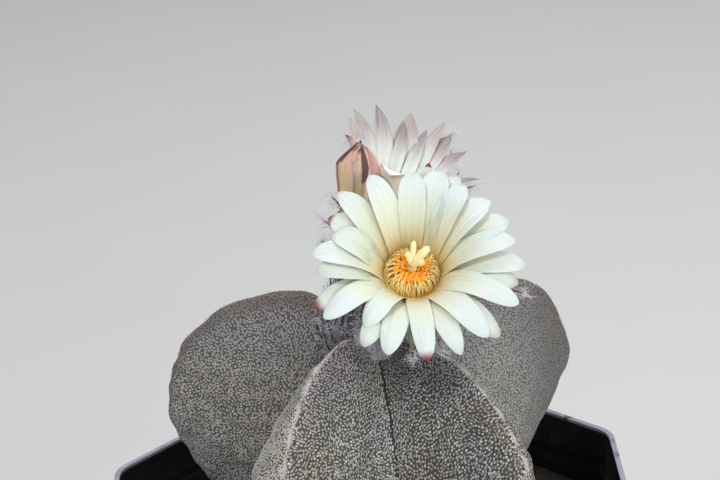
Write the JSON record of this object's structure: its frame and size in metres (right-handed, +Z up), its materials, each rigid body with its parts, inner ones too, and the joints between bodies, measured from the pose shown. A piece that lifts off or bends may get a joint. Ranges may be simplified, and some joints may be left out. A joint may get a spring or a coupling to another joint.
{
  "type": "potted bishops cap cactus",
  "caption": "Star-shaped, ribbed, spineless cactus covered with pale flecks, in flower at its crown, growing in a glossy black octagonal plastic pot.",
  "frame": {"origin": "middle of the pot's underside, on the surface that it stands on", "axes": "+Z up out of the pot's mouth; -Y is the plant's front, which the lower flower faces, and +X is to the right of someone who looks at that front; the pot's flats are square to X and Y"},
  "size_m": [0.12, 0.12, 0.183],
  "materials": {
    "pot": "glossy, with a worn grey rim",
    "soil": "matte grit",
    "skin": "matte, flecked",
    "scales": "matte, woolly",
    "petals": "satin",
    "bud_petals": "satin",
    "stamens": "matte",
    "pistil": "matte"
  },
  "bodies": {
    "root": {"pot": "pot", "soil": "soil", "cactus_body": "skin", "flower_1_calyx": "scales", "flower_1_petals": "petals", "flower_1_stamens": "stamens", "flower_1_pistil": "pistil", "flower_2_calyx": "scales", "flower_2_petals": "petals", "flower_2_stamens": "stamens", "flower_2_pistil": "pistil", "bud_calyx": "scales", "bud_petals": "bud_petals"}
  },
  "joints": []
}
